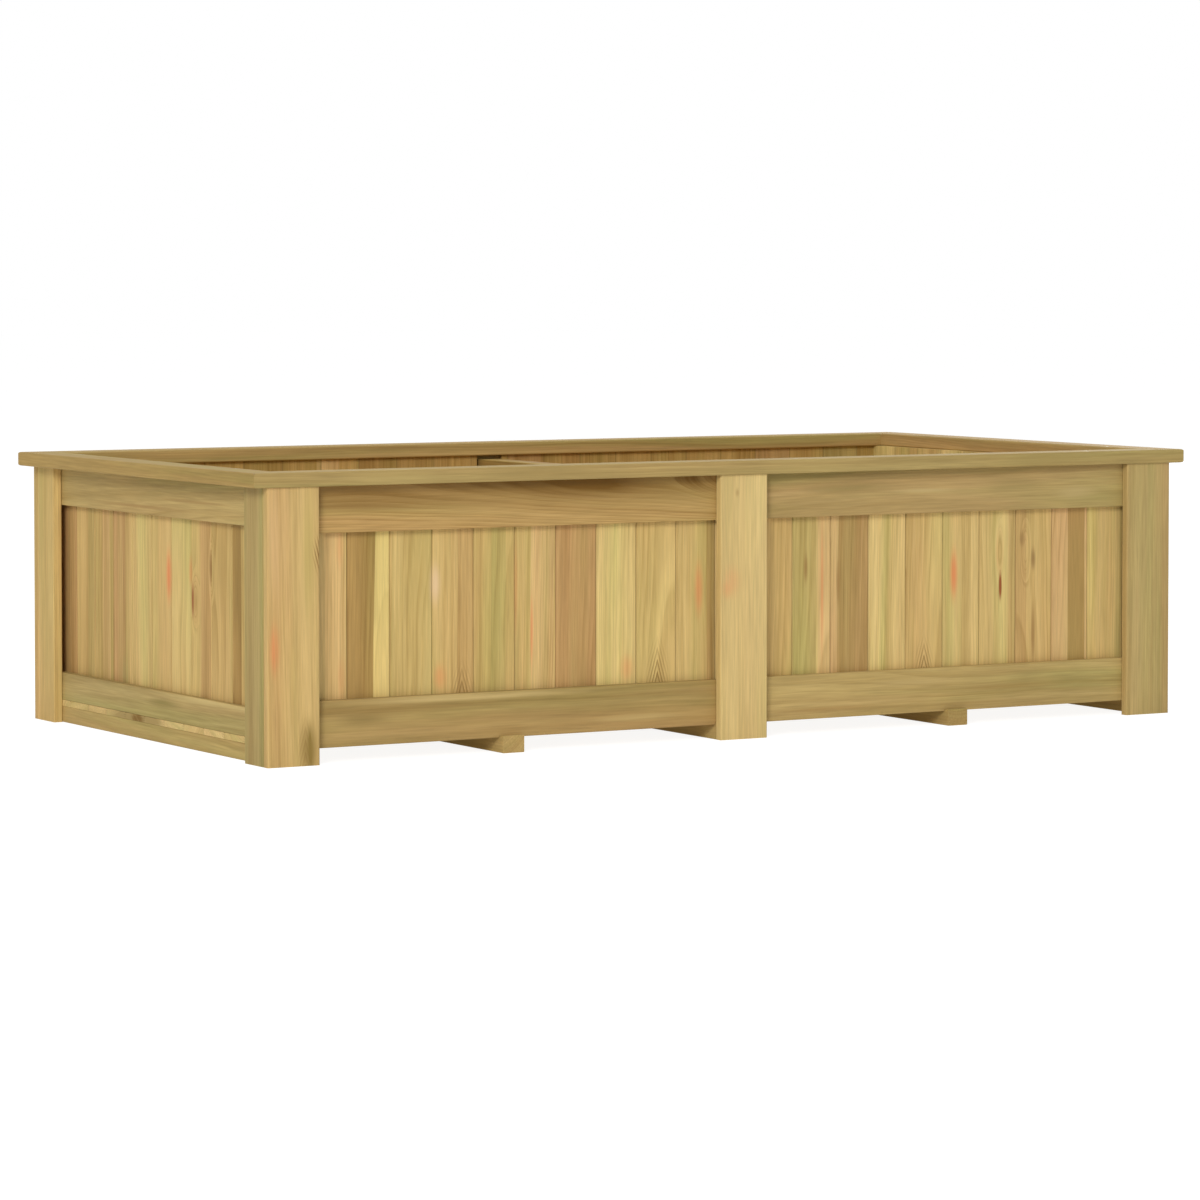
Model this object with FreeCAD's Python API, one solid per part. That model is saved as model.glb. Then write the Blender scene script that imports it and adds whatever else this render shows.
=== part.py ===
import FreeCAD, Part
import os
from FreeCAD import Placement, Rotation, Vector

# Rectangular timber planter box: a frame of rails and cover boards, walls and a floor of
# tongued and grooved boards, a mitred rim on top and battens that carry it on the ground.
# Lengths are in millimetres. The origin is the middle of the footprint on the ground.
# X runs along the length, Y from the front to the back, Z up.

# Box over the outer faces of its cover boards, and the height up to the rim
box_length = 1500
box_width = 780
wall_height = 375

# Rim of four mitred boards lying flat
rim_board_width = 50
rim_thickness = 20
rim_end_overhang = 22
rim_side_overhang = 5
rim_rounding = 2.5

# Upright cover boards at the corners and at the middle of the long sides
cover_thickness = 14
corner_face_width = 78
corner_side_width = 58
centre_cover_width = 78
cover_rounding = 2.5

# Rails between the cover boards, set back behind their faces
rail_thickness = 12
long_upper_rail_height = 64
long_lower_rail_height = 64
end_upper_rail_height = 56
end_lower_rail_height = 40
rail_rounding = 1.5

# Tongued and grooved boards of the walls and the floor
board_thickness = 9
wall_board_width = 65
least_ripped_width = 20
floor_board_count = 11
board_chamfer = 1.5
tongue_thickness = 3
tongue_length = 5
tongue_setback = 2.5
tongue_clearance = 0.2

# Battens that run from front to back: bearers under the floor and one brace near the rim
batten_height = 24
batten_width = 34
batten_rounding = 1.5
quarter_bearer_distance = 371
quarter_bearer_recess = 6
rail_lap_over_bearers = 3
notch_side_clearance = 0.5
brace_drop = 6
brace_notch_clearance = 5

# Countersunk screws and round nails
screw_radius = 2
screw_head_radius = 4
nail_radius = 0.9
nail_head_radius = 2
nail_head_thickness = 1
rim_screw_length = 45
rim_screw_inset = 60
brace_screw_length = 40
point_cover = 4
nail_edge_distance = 16
nail_drop = 15
drill_clearance = 0.1

# Every cut runs past the face that it opens by this much
overrun = 2

# Planes of the frame, from the outside to the inside
cover_face_x = box_length / 2
cover_face_y = box_width / 2
rail_face_x = cover_face_x - cover_thickness
rail_face_y = cover_face_y - cover_thickness
rail_back_x = rail_face_x - rail_thickness
rail_back_y = rail_face_y - rail_thickness
wall_inside_x = rail_back_x - board_thickness
wall_inside_y = rail_back_y - board_thickness
floor_top = batten_height + board_thickness
long_lower_rail_bottom = batten_height - rail_lap_over_bearers
brace_top = wall_height - brace_drop
brace_bottom = brace_top - batten_height

sides = (("front", -1), ("back", 1))
ends = (("left", -1), ("right", 1))


def block(x_range, y_range, z_range):
    """Box between pairs of places along X, Y and Z, given in any order."""
    low = Vector(min(x_range), min(y_range), min(z_range))
    high = Vector(max(x_range), max(y_range), max(z_range))
    size = high - low
    return Part.makeBox(size.x, size.y, size.z, low)


def ease_long_edges(solid, run, rounding):
    """Round the edges that run along the grain, as planed timber has them."""
    along_grain = [edge for edge in solid.Edges if round(abs(edge.Curve.Direction.dot(run))) == 1]
    return solid.makeFillet(rounding, along_grain)


def timber(x_range, y_range, z_range, run, rounding):
    """Straight planed board with its four long edges rounded."""
    return ease_long_edges(block(x_range, y_range, z_range), run, rounding)


along_x = Vector(1, 0, 0)
along_y = Vector(0, 1, 0)
along_z = Vector(0, 0, 1)


def turned_pin(profile, head_point, direction):
    """Solid of revolution; the profile holds (radius, depth below the head's flat top)."""
    outline = [Vector(radius, 0, -depth) for radius, depth in profile]
    face = Part.Face(Part.makePolygon(outline + outline[:1]))
    solid = face.revolve(Vector(0, 0, 0), along_z, 360)
    solid.Placement = Placement(head_point, Rotation(-along_z, direction))
    return solid


def screw_profile(length, clearance, above):
    """Countersunk screw with a cone point; a clearance and a height above make it its own drill."""
    radius = screw_radius + clearance
    head_radius = screw_head_radius + clearance
    neck_depth = head_radius - radius
    point_depth = length + clearance
    return ((0, -above), (head_radius, -above), (head_radius, 0), (radius, neck_depth),
            (radius, point_depth - radius), (0, point_depth))


def nail_profile(length, clearance, above):
    """Flat-headed round nail, or its drill."""
    radius = nail_radius + clearance
    head_radius = nail_head_radius + clearance
    head_depth = nail_head_thickness + clearance
    point_depth = length + clearance
    return ((0, -above), (head_radius, -above), (head_radius, head_depth), (radius, head_depth),
            (radius, point_depth - radius), (0, point_depth))


def trimmed(profile):
    """Profile without repeated points, which a screw with no height above its head would have."""
    return [point for index, point in enumerate(profile) if point not in profile[:index]]


def fasteners(places, make_profile, length):
    """Screws or nails at (head point, direction) places, and the drills for their holes."""
    solid_profile = trimmed(make_profile(length, 0, 0))
    drill_profile = trimmed(make_profile(length, drill_clearance, overrun))
    solids = [turned_pin(solid_profile, point, direction) for point, direction in places]
    drills = [turned_pin(drill_profile, point, direction) for point, direction in places]
    return solids, drills


def cut_by_near(solid, cutters):
    """Cut a solid by those cutters whose bounds reach it."""
    near = [cutter for cutter in cutters if solid.BoundBox.intersect(cutter.BoundBox)]
    if not near:
        return solid
    return solid.cut(near).Solids[0]


def wall_board_spans(width):
    """Start and end of each board of a wall: one in the middle, whole pairs, and a ripped pair."""
    half_board = wall_board_width / 2
    whole_pairs = int((width / 2 - half_board - least_ripped_width) / wall_board_width)
    inner_end = half_board + whole_pairs * wall_board_width
    joints = [-inner_end + index * wall_board_width for index in range(2 * whole_pairs + 2)]
    edges = [-width / 2] + joints + [width / 2]
    return list(zip(edges[:-1], edges[1:]))


def floor_board_spans():
    """Start and end of each floor board, which share the width between the walls alike."""
    board_width = 2 * wall_inside_y / floor_board_count
    edges = [-wall_inside_y + index * board_width for index in range(floor_board_count + 1)]
    return list(zip(edges[:-1], edges[1:]))


def board_outline(start, end, grooved, tongued):
    """Section of a board as (across, depth) points; the face with the chamfers is the deep one."""
    tongue_far = tongue_setback + tongue_thickness
    chamfer_depth = board_thickness - board_chamfer
    outline = [(start, 0), (end, 0)]
    if tongued:
        tongue_end = end + tongue_length
        outline += [(end, tongue_setback), (tongue_end, tongue_setback)]
        outline += [(tongue_end, tongue_far), (end, tongue_far)]
    outline += [(end, chamfer_depth), (end - board_chamfer, board_thickness)]
    outline += [(start + board_chamfer, board_thickness), (start, chamfer_depth)]
    if grooved:
        groove_end = start + tongue_length + tongue_clearance
        groove_near = tongue_setback - tongue_clearance
        groove_far = tongue_far + tongue_clearance
        outline += [(start, groove_far), (groove_end, groove_far)]
        outline += [(groove_end, groove_near), (start, groove_near)]
    return outline


def matched_boards(spans, to_point, run):
    """Row of tongued and grooved boards; to_point places (across, depth), run is their length."""
    boards = []
    for number, (start, end) in enumerate(spans, 1):
        section = board_outline(start, end, grooved=number > 1, tongued=number < len(spans))
        outline = [to_point(across, depth) for across, depth in section]
        boards.append(Part.Face(Part.makePolygon(outline + outline[:1])).extrude(run))
    return boards


def rim_board(corners, run):
    """Flat board with mitred ends, from its four corners in plan."""
    outline = [Vector(x, y, wall_height) for x, y in corners]
    face = Part.Face(Part.makePolygon(outline + outline[:1]))
    return ease_long_edges(face.extrude(along_z * rim_thickness), run, rim_rounding)


def rim():
    """Four boards that cap the walls and meet in mitres."""
    outer_x = cover_face_x + rim_end_overhang
    outer_y = cover_face_y + rim_side_overhang
    inner_x = outer_x - rim_board_width
    inner_y = outer_y - rim_board_width
    nodes = {}
    for side, sign in sides:
        corners = ((-outer_x, sign * outer_y), (outer_x, sign * outer_y),
                   (inner_x, sign * inner_y), (-inner_x, sign * inner_y))
        nodes["rim_" + side] = [rim_board(corners, along_x)]
    for end, sign in ends:
        corners = ((sign * outer_x, -outer_y), (sign * outer_x, outer_y),
                   (sign * inner_x, inner_y), (sign * inner_x, -inner_y))
        nodes["rim_" + end] = [rim_board(corners, along_y)]
    return nodes


def cover_boards():
    """Upright boards: two at each corner, whose face board laps the side board, and two centre ones."""
    nodes = {}
    for side, side_sign in sides:
        face_y = (side_sign * rail_face_y, side_sign * cover_face_y)
        half_centre = centre_cover_width / 2
        centre = timber((-half_centre, half_centre), face_y, (0, wall_height), along_z, cover_rounding)
        nodes["centre_post_" + side] = [centre]
        for end, end_sign in ends:
            face_x = (end_sign * (cover_face_x - corner_face_width), end_sign * cover_face_x)
            side_x = (end_sign * rail_face_x, end_sign * cover_face_x)
            side_y = (side_sign * (rail_face_y - corner_side_width), side_sign * rail_face_y)
            face_board = timber(face_x, face_y, (0, wall_height), along_z, cover_rounding)
            side_board = timber(side_x, side_y, (0, wall_height), along_z, cover_rounding)
            nodes["corner_face_board_" + side + "_" + end] = [face_board]
            nodes["corner_side_board_" + side + "_" + end] = [side_board]
    return nodes


def bearer_bounds():
    """Name, middle, width and half length of each bearer; the centre one is as wide as a cover board."""
    end_distance = rail_face_x - batten_width / 2
    quarter_reach = cover_face_y - quarter_bearer_recess
    return (("bearer_left_end", -end_distance, batten_width, rail_face_y),
            ("bearer_left_quarter", -quarter_bearer_distance, batten_width, quarter_reach),
            ("bearer_centre", 0, centre_cover_width, rail_face_y),
            ("bearer_right_quarter", quarter_bearer_distance, batten_width, quarter_reach),
            ("bearer_right_end", end_distance, batten_width, rail_face_y))


def battens():
    """Bearers that stand on the ground, and the brace that ties the long walls below the rim."""
    nodes = {}
    for name, middle, width, reach in bearer_bounds():
        x_range = (middle - width / 2, middle + width / 2)
        nodes[name] = [timber(x_range, (-reach, reach), (0, batten_height), along_y, batten_rounding)]
    brace_x = (-batten_width / 2, batten_width / 2)
    brace_y = (-rail_back_y, rail_back_y)
    nodes["cross_brace"] = [timber(brace_x, brace_y, (brace_bottom, brace_top), along_y, batten_rounding)]
    return nodes


def bearer_notches():
    """Spaces that the bearers need in the lower rails, which lap down over them."""
    notches = []
    for name, middle, width, reach in bearer_bounds():
        half_notch = width / 2 + notch_side_clearance
        far_y = cover_face_y + overrun
        z_range = (-overrun, batten_height)
        notches.append(block((middle - half_notch, middle + half_notch), (-far_y, far_y), z_range))
    return notches


def rails():
    """Upper and lower rails: one per bay on the long sides, one per end between those."""
    long_levels = (("upper", wall_height - long_upper_rail_height, wall_height),
                   ("lower", long_lower_rail_bottom, long_lower_rail_bottom + long_lower_rail_height))
    end_levels = (("upper", wall_height - end_upper_rail_height, wall_height),
                  ("lower", floor_top, floor_top + end_lower_rail_height))
    notches = bearer_notches()
    nodes = {}
    for side, side_sign in sides:
        y_range = (side_sign * rail_back_y, side_sign * rail_face_y)
        for end, end_sign in ends:
            for level, bottom, top in long_levels:
                rail = timber((0, end_sign * rail_face_x), y_range, (bottom, top), along_x, rail_rounding)
                nodes[level + "_rail_" + side + "_" + end] = [cut_by_near(rail, notches)]
    for end, end_sign in ends:
        x_range = (end_sign * rail_back_x, end_sign * rail_face_x)
        for level, bottom, top in end_levels:
            rail = timber(x_range, (-rail_back_y, rail_back_y), (bottom, top), along_y, rail_rounding)
            nodes[level + "_rail_" + end + "_end"] = [rail]
    return nodes


def walls():
    """Upright boards inside the rails; those of the long walls are notched round the brace."""
    half_notch = batten_width / 2 + brace_notch_clearance
    notch_bottom = brace_bottom - brace_notch_clearance
    notch = block((-half_notch, half_notch), (-cover_face_y, cover_face_y),
                  (notch_bottom, wall_height + overrun))
    nodes = {}
    for side, sign in sides:
        def long_wall_point(across, depth):
            return Vector(across, sign * (wall_inside_y + depth), batten_height)
        spans = wall_board_spans(2 * rail_back_x)
        boards = matched_boards(spans, long_wall_point, along_z * (wall_height - batten_height))
        nodes[side + "_wall_boards"] = [cut_by_near(board, [notch]) for board in boards]
    for end, sign in ends:
        def end_wall_point(across, depth):
            return Vector(sign * (wall_inside_x + depth), across, floor_top)
        spans = wall_board_spans(2 * wall_inside_y)
        boards = matched_boards(spans, end_wall_point, along_z * (wall_height - floor_top))
        nodes[end + "_end_boards"] = boards
    return nodes


def floor_boards():
    """Lengthwise boards on the bearers, with their chamfered face up."""
    def floor_point(across, depth):
        return Vector(-rail_face_x, across, batten_height + depth)
    boards = matched_boards(floor_board_spans(), floor_point, along_x * (2 * rail_face_x))
    return {"floor_board_%d" % number: [board] for number, board in enumerate(boards, 1)}


def rim_screw_places():
    """Down through the rim into the top edges of the upper rails."""
    head_z = wall_height + rim_thickness
    rail_middle_x = (rail_back_x + rail_face_x) / 2
    rail_middle_y = (rail_back_y + rail_face_y) / 2
    long_places = (cover_face_x - corner_face_width - rim_screw_inset,
                   centre_cover_width / 2 + rim_screw_inset)
    end_place = rail_face_y - corner_side_width - rim_screw_inset
    places = []
    for _, side_sign in sides:
        for _, end_sign in ends:
            for x in long_places:
                places.append((Vector(end_sign * x, side_sign * rail_middle_y, head_z), -along_z))
            places.append((Vector(end_sign * rail_middle_x, side_sign * end_place, head_z), -along_z))
    return places


def rail_middles():
    """Heights of the middles of the long rails and of the end rails, lower one first."""
    long_middles = (long_lower_rail_bottom + long_lower_rail_height / 2,
                    wall_height - long_upper_rail_height / 2)
    end_middles = (floor_top + end_lower_rail_height / 2, wall_height - end_upper_rail_height / 2)
    return long_middles, end_middles


def post_screw_places():
    """From the back of each rail outwards into the cover boards, under the wall boards."""
    long_middles, end_middles = rail_middles()
    corner_x = (cover_face_x - corner_face_width + rail_face_x) / 2
    side_y = (rail_face_y - corner_side_width + rail_back_y) / 2
    places = []
    for _, side_sign in sides:
        for _, end_sign in ends:
            for z in long_middles:
                for x in (corner_x, centre_cover_width / 4):
                    head = Vector(end_sign * x, side_sign * rail_back_y, z)
                    places.append((head, along_y * side_sign))
            for z in end_middles:
                head = Vector(end_sign * rail_back_x, side_sign * side_y, z)
                places.append((head, along_x * end_sign))
    return places


def brace_screw_places():
    """Through the meeting ends of the upper rails into the ends of the brace, under the centre posts."""
    z = (brace_bottom + brace_top) / 2
    return [(Vector(end_sign * batten_width / 4, side_sign * rail_face_y, z), along_y * -side_sign)
            for _, side_sign in sides for _, end_sign in ends]


def floor_nail_places():
    """One nail where each floor board crosses each bearer."""
    return [(Vector(middle, (start + end) / 2, floor_top), -along_z)
            for _, middle, _, _ in bearer_bounds() for start, end in floor_board_spans()]


def long_wall_nail_places():
    """Two nails in each board of the long walls, from the inside into the lower and the upper rail."""
    long_middles, _ = rail_middles()
    spans = wall_board_spans(2 * rail_back_x)
    return [(Vector(start + nail_edge_distance, sign * wall_inside_y, middle - nail_drop), along_y * sign)
            for _, sign in sides for start, _ in spans for middle in long_middles]


def end_wall_nail_places():
    """The same in the boards of the end walls."""
    _, end_middles = rail_middles()
    spans = wall_board_spans(2 * wall_inside_y)
    return [(Vector(sign * wall_inside_x, start + nail_edge_distance, middle - nail_drop), along_x * sign)
            for _, sign in ends for start, _ in spans for middle in end_middles]


def all_fasteners():
    """Screws and nails by node, with the drills that all of them need."""
    wall_nail_length = board_thickness + rail_thickness - point_cover
    kinds = (
        ("rim_screws", rim_screw_places(), screw_profile, rim_screw_length),
        ("post_screws", post_screw_places(), screw_profile, rail_thickness + cover_thickness - point_cover),
        ("brace_screws", brace_screw_places(), screw_profile, brace_screw_length),
        ("floor_nails", floor_nail_places(), nail_profile, floor_top - point_cover),
        ("long_wall_nails", long_wall_nail_places(), nail_profile, wall_nail_length),
        ("end_wall_nails", end_wall_nail_places(), nail_profile, wall_nail_length),
    )
    nodes = {}
    drills = []
    for name, places, make_profile, length in kinds:
        nodes[name], node_drills = fasteners(places, make_profile, length)
        drills += node_drills
    return nodes, drills


def build():
    """Write one file for each node."""
    timber_nodes = {}
    for make_nodes in (rim, cover_boards, rails, walls, floor_boards, battens):
        timber_nodes.update(make_nodes())
    fastener_nodes, drills = all_fasteners()
    nodes = {name: [cut_by_near(solid, drills) for solid in solids]
             for name, solids in timber_nodes.items()}
    nodes.update(fastener_nodes)
    os.makedirs("parts", exist_ok=True)
    for name, solids in nodes.items():
        shape = solids[0] if len(solids) == 1 else Part.makeCompound(solids)
        shape.exportStep("parts/" + name + ".step")
        print(name, len(solids), "valid" if shape.isValid() else "INVALID")


build()
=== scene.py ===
import math
import random

import bmesh
import bpy
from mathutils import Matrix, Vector


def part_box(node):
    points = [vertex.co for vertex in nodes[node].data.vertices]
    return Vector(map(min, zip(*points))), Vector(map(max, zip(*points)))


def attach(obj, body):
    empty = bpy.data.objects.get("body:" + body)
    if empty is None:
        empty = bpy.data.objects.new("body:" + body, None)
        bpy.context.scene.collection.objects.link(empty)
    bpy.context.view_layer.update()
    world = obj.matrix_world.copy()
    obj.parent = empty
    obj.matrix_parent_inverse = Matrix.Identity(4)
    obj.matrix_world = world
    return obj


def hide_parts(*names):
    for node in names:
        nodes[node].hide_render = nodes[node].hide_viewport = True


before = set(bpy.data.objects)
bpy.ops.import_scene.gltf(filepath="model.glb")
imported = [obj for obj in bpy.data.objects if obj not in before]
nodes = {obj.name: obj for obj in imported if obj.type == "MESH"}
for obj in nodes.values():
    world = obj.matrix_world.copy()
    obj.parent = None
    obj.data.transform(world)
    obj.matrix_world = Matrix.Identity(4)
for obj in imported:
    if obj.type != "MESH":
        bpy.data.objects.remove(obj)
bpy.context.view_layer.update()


# Bearers: five pine battens under the floor, front to back, 24 mm high and 34 mm wide, the middle one 78.
# They are sawn from pressure-treated softwood, which the salts turn a green-tinged straw colour, then planed.
# The end ones close the gap under the end rails, and the others run out under the long sides.
MM = 0.001
BEARERS = ("left_end", "left_quarter", "centre", "right_quarter", "right_end")


def colour(hex_text):
    """An sRGB hex colour as the linear colour that the shaders take."""
    channels = [int(hex_text[i:i + 2], 16) / 255 for i in (0, 2, 4)]
    return [c / 12.92 if c <= 0.04045 else ((c + 0.055) / 1.055) ** 2.4 for c in channels] + [1.0]


def add(tree, kind, inputs=None, **settings):
    """Adds a node to a tree; each input takes a value or another node's socket."""
    node = tree.nodes.new(kind)
    for name, value in settings.items():
        setattr(node, name, value)
    for socket, value in (inputs or {}).items():
        if isinstance(value, bpy.types.NodeSocket):
            tree.links.new(value, node.inputs[socket])
        else:
            node.inputs[socket].default_value = value
    return node


def set_stops(ramp, stops, interpolation="LINEAR"):
    """Gives a colour ramp its stops, each a position and a colour."""
    ramp.interpolation = interpolation
    ramp.elements.remove(ramp.elements[-1])
    ramp.elements[0].position, ramp.elements[0].color = stops[0]
    for position, shown in stops[1:]:
        ramp.elements.new(position).color = shown


def pine_grain():
    """Solid pine with its grain along X: rings about a leaning pith, streaks of tone, tints and fibres."""
    tree = bpy.data.node_groups.new("pine_grain", "ShaderNodeTree")
    for name, kind in (("Place", "Vector"), ("Seed", "Vector"), ("Pith", "Vector"), ("Lean", "Vector"),
                       ("Push", "Float"), ("Wander", "Float"), ("Ring Width", "Float"), ("Tone", "Color"),
                       ("Streaks", "Float"), ("Rings", "Float"), ("Blotches", "Float"), ("Green", "Float"),
                       ("Pink", "Float")):
        tree.interface.new_socket(name, in_out="INPUT", socket_type="NodeSocket" + kind)
    for name, kind in (("Color", "Color"), ("Height", "Float"), ("Streak", "Float")):
        tree.interface.new_socket(name, in_out="OUTPUT", socket_type="NodeSocket" + kind)
    given = add(tree, "NodeGroupInput").outputs
    seeded = add(tree, "ShaderNodeVectorMath", {0: given["Place"], 1: given["Seed"]},
                 operation="ADD").outputs[0]

    # the trunk was never quite straight, so the grain wanders over half a metre or less along a board
    slow = add(tree, "ShaderNodeVectorMath", {0: seeded, 1: (2.2, 7, 7)}, operation="MULTIPLY").outputs[0]
    noise = add(tree, "ShaderNodeTexNoise", {"Vector": slow, "Scale": 1.0, "Detail": 2.0}).outputs["Color"]
    centred = add(tree, "ShaderNodeVectorMath", {0: noise, 1: (0.5, 0.5, 0.5)},
                  operation="SUBTRACT").outputs[0]
    sideways = add(tree, "ShaderNodeVectorMath", {0: centred, 1: (0, 1, 1)}, operation="MULTIPLY").outputs[0]
    bend = add(tree, "ShaderNodeVectorMath", {0: sideways, "Scale": given["Wander"]},
               operation="SCALE").outputs[0]
    bent = add(tree, "ShaderNodeVectorMath", {0: given["Place"], 1: bend}, operation="ADD").outputs[0]
    along = add(tree, "ShaderNodeSeparateXYZ", {0: given["Place"]}).outputs[0]
    lean = add(tree, "ShaderNodeVectorMath", {0: given["Lean"], "Scale": along}, operation="SCALE").outputs[0]
    axis = add(tree, "ShaderNodeVectorMath", {0: given["Pith"], 1: lean}, operation="ADD").outputs[0]
    from_pith = add(tree, "ShaderNodeVectorMath", {0: bent, 1: axis}, operation="SUBTRACT").outputs[0]
    across = add(tree, "ShaderNodeVectorMath", {0: from_pith, 1: (0, 1, 1)}, operation="MULTIPLY").outputs[0]
    radius = add(tree, "ShaderNodeVectorMath", {0: across}, operation="LENGTH").outputs["Value"]
    pushed = add(tree, "ShaderNodeMath", {0: radius, 1: given["Push"]}, operation="ADD").outputs[0]

    # each year's ring is pale in spring, and darkens to a sharp autumn edge; good years make wider rings
    ring = add(tree, "ShaderNodeMath", {0: pushed, 1: given["Ring Width"]}, operation="DIVIDE").outputs[0]
    years = add(tree, "ShaderNodeTexNoise", {"W": ring, "Scale": 0.4, "Detail": 2.0},
                noise_dimensions="1D").outputs[0]
    spaced = add(tree, "ShaderNodeMath", {0: years, 1: 1.6, 2: ring}, operation="MULTIPLY_ADD").outputs[0]
    season = add(tree, "ShaderNodeMath", {0: spaced}, operation="FRACT").outputs[0]
    ramp = add(tree, "ShaderNodeValToRGB", {0: season})
    set_stops(ramp.color_ramp,
              [(at, (v, v, v, 1.0)) for at, v in ((0, 0), (0.4, 0.1), (0.82, 0.8), (0.92, 1), (1, 0))])
    wide = add(tree, "ShaderNodeVectorMath", {0: seeded, 1: (4.5, 28, 28)}, operation="MULTIPLY").outputs[0]
    blotch = add(tree, "ShaderNodeTexNoise", {"Vector": wide, "Scale": 1.0, "Detail": 3.0}).outputs[0]
    faint = add(tree, "ShaderNodeMapRange", {"Value": blotch, 1: 0.35, 2: 0.65, 3: 0.25, 4: 1}).outputs[0]
    autumn = add(tree, "ShaderNodeMath", {0: ramp.outputs[0], 1: faint}, operation="MULTIPLY").outputs[0]
    ring_share = add(tree, "ShaderNodeMath", {0: autumn, 1: given["Rings"]}, operation="MULTIPLY").outputs[0]

    # streaks of tone three to twenty millimetres wide that follow the grain, often the board's full length
    followed = add(tree, "ShaderNodeCombineXYZ", {0: along, 1: pushed}).outputs[0]
    offset = add(tree, "ShaderNodeVectorMath", {0: followed, 1: given["Seed"]}, operation="ADD").outputs[0]
    drawn = add(tree, "ShaderNodeVectorMath", {0: offset, 1: (1.1, 75, 1)}, operation="MULTIPLY").outputs[0]
    streaks = add(tree, "ShaderNodeTexNoise", {"Vector": drawn, "Scale": 1.0, "Detail": 4.0,
                                               "Roughness": 0.62}).outputs[0]
    streak = add(tree, "ShaderNodeMapRange", {"Value": streaks, 1: 0.36, 2: 0.66}).outputs[0]
    streak_share = add(tree, "ShaderNodeMath", {0: streak, 1: given["Streaks"]},
                       operation="MULTIPLY").outputs[0]
    darker = add(tree, "ShaderNodeMath", {0: streak_share, 1: ring_share}, operation="ADD",
                 use_clamp=True).outputs[0]
    pale = add(tree, "ShaderNodeVectorMath", {0: given["Tone"], 1: (1.14, 1.13, 1.10)},
               operation="MULTIPLY").outputs[0]
    dark = add(tree, "ShaderNodeVectorMath", {0: given["Tone"], 1: (0.63, 0.55, 0.39)},
               operation="MULTIPLY").outputs[0]
    ringed = add(tree, "ShaderNodeMix", {0: darker, 6: pale, 7: dark}, data_type="RGBA").outputs[2]

    # the treatment salts stain some of the sapwood green, and the heart is pinker
    stained = add(tree, "ShaderNodeVectorMath", {0: offset, 1: (1.5, 42, 30)},
                  operation="MULTIPLY").outputs[0]
    salts = add(tree, "ShaderNodeTexNoise", {"Vector": stained, "Scale": 1.0, "Detail": 3.0}).outputs[0]
    green_area = add(tree, "ShaderNodeMapRange", {"Value": salts, 1: 0.46, 2: 0.66}).outputs[0]
    green = add(tree, "ShaderNodeMath", {0: green_area, 1: given["Green"]}, operation="MULTIPLY").outputs[0]
    greened = add(tree, "ShaderNodeMix", {0: green, 6: ringed, 7: (0.80, 0.97, 0.80, 1.0)}, data_type="RGBA",
                  blend_type="MULTIPLY").outputs[2]
    moved = add(tree, "ShaderNodeVectorMath", {0: stained, 1: (7.3, 11.9, 3.7)}, operation="ADD").outputs[0]
    heart = add(tree, "ShaderNodeTexNoise", {"Vector": moved, "Scale": 0.8, "Detail": 3.0}).outputs[0]
    pink_area = add(tree, "ShaderNodeMapRange", {"Value": heart, 1: 0.5, 2: 0.68}).outputs[0]
    pink = add(tree, "ShaderNodeMath", {0: pink_area, 1: given["Pink"]}, operation="MULTIPLY").outputs[0]
    pinked = add(tree, "ShaderNodeMix", {0: pink, 6: greened, 7: (1.10, 0.90, 0.98, 1.0)}, data_type="RGBA",
                 blend_type="MULTIPLY").outputs[2]

    # fibres are under a tenth of a millimetre wide, drawn as bundles some two millimetres wide
    thready = add(tree, "ShaderNodeVectorMath", {0: seeded, 1: (18, 420, 420)},
                  operation="MULTIPLY").outputs[0]
    fibres = add(tree, "ShaderNodeTexNoise", {"Vector": thready, "Scale": 1.0, "Detail": 2.0}).outputs[0]
    shade = add(tree, "ShaderNodeMapRange", {"Value": fibres, 1: 0.25, 2: 0.75, 3: 0.88, 4: 1.10}).outputs[0]
    swing = add(tree, "ShaderNodeMapRange", {"Value": blotch, 1: 0.3, 2: 0.7, 3: -1, 4: 1}).outputs[0]
    lighter = add(tree, "ShaderNodeMath", {0: swing, 1: given["Blotches"], 2: shade},
                  operation="MULTIPLY_ADD").outputs[0]
    toned = add(tree, "ShaderNodeHueSaturation", {"Value": lighter, "Color": pinked}).outputs[0]
    relief = add(tree, "ShaderNodeMath", {0: fibres, 1: 0.6, 2: ring_share},
                 operation="MULTIPLY_ADD").outputs[0]
    add(tree, "NodeGroupOutput", {"Color": toned, "Height": relief, "Streak": streak})
    return tree


PINE_GRAIN = pine_grain()
ARCH_SPACING, ARCH_TONE = 17 * MM, "8A6B39"


def falloff(tree, place, centre, half_sizes):
    """One in the middle of a spot and none past its half sizes, all in millimetres along X, Y and Z."""
    middle = [c * MM for c in centre]
    offset = add(tree, "ShaderNodeVectorMath", {0: place, 1: middle}, operation="SUBTRACT").outputs[0]
    shares = [1 / (size * MM) for size in half_sizes]
    scaled = add(tree, "ShaderNodeVectorMath", {0: offset, 1: shares}, operation="MULTIPLY").outputs[0]
    distance = add(tree, "ShaderNodeVectorMath", {0: scaled}, operation="LENGTH").outputs["Value"]
    return add(tree, "ShaderNodeMapRange", {"Value": distance, 3: 1, 4: 0},
               interpolation_type="SMOOTHERSTEP").outputs[0]


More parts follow.
